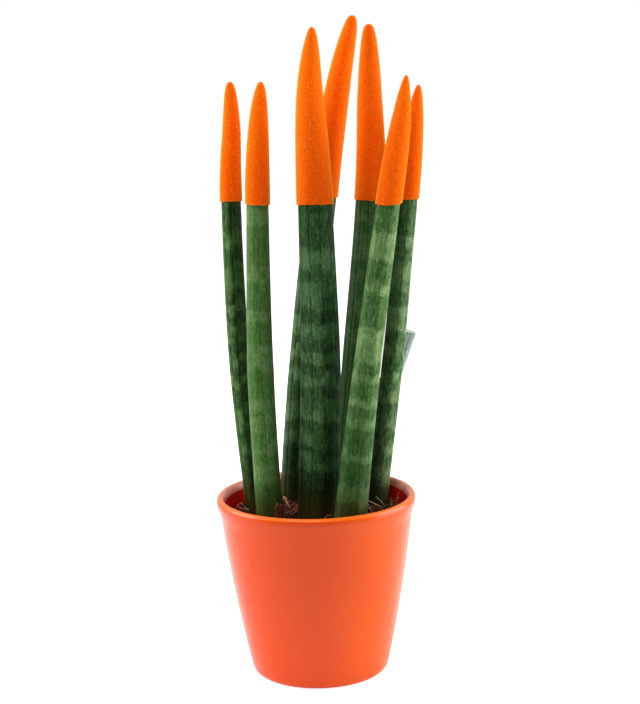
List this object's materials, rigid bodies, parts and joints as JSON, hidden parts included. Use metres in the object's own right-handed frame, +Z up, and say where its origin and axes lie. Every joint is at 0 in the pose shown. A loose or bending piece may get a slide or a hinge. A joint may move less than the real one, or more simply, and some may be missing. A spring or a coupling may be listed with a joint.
{
  "type": "cylindrical snake plant in a pot",
  "caption": "Potted succulent houseplant: round furrowed leaves with velvet-flocked tips, standing in soil in a tapered glazed pot.",
  "frame": {"origin": "middle of the pot's flat underside, on the surface that it stands on", "axes": "+Z up along the pot's axis, -Y towards the front of the plant, +X to the right seen from the front"},
  "size_m": [0.1495, 0.14, 0.4573],
  "materials": {
    "pot": "satin",
    "soil": "matte",
    "leaf": "satin",
    "pale_leaf": "satin",
    "velvet": "matte"
  },
  "bodies": {
    "root": {"pot": "pot", "soil": "soil", "leaf_1": "leaf", "leaf_2": "pale_leaf", "leaf_3": "leaf", "leaf_4": "leaf", "leaf_5": "leaf", "leaf_6": "pale_leaf", "leaf_7": "leaf", "leaf_8": "pale_leaf", "velvet_1": "velvet", "velvet_2": "velvet", "velvet_3": "velvet", "velvet_4": "velvet", "velvet_5": "velvet", "velvet_6": "velvet", "velvet_7": "velvet"}
  },
  "joints": []
}
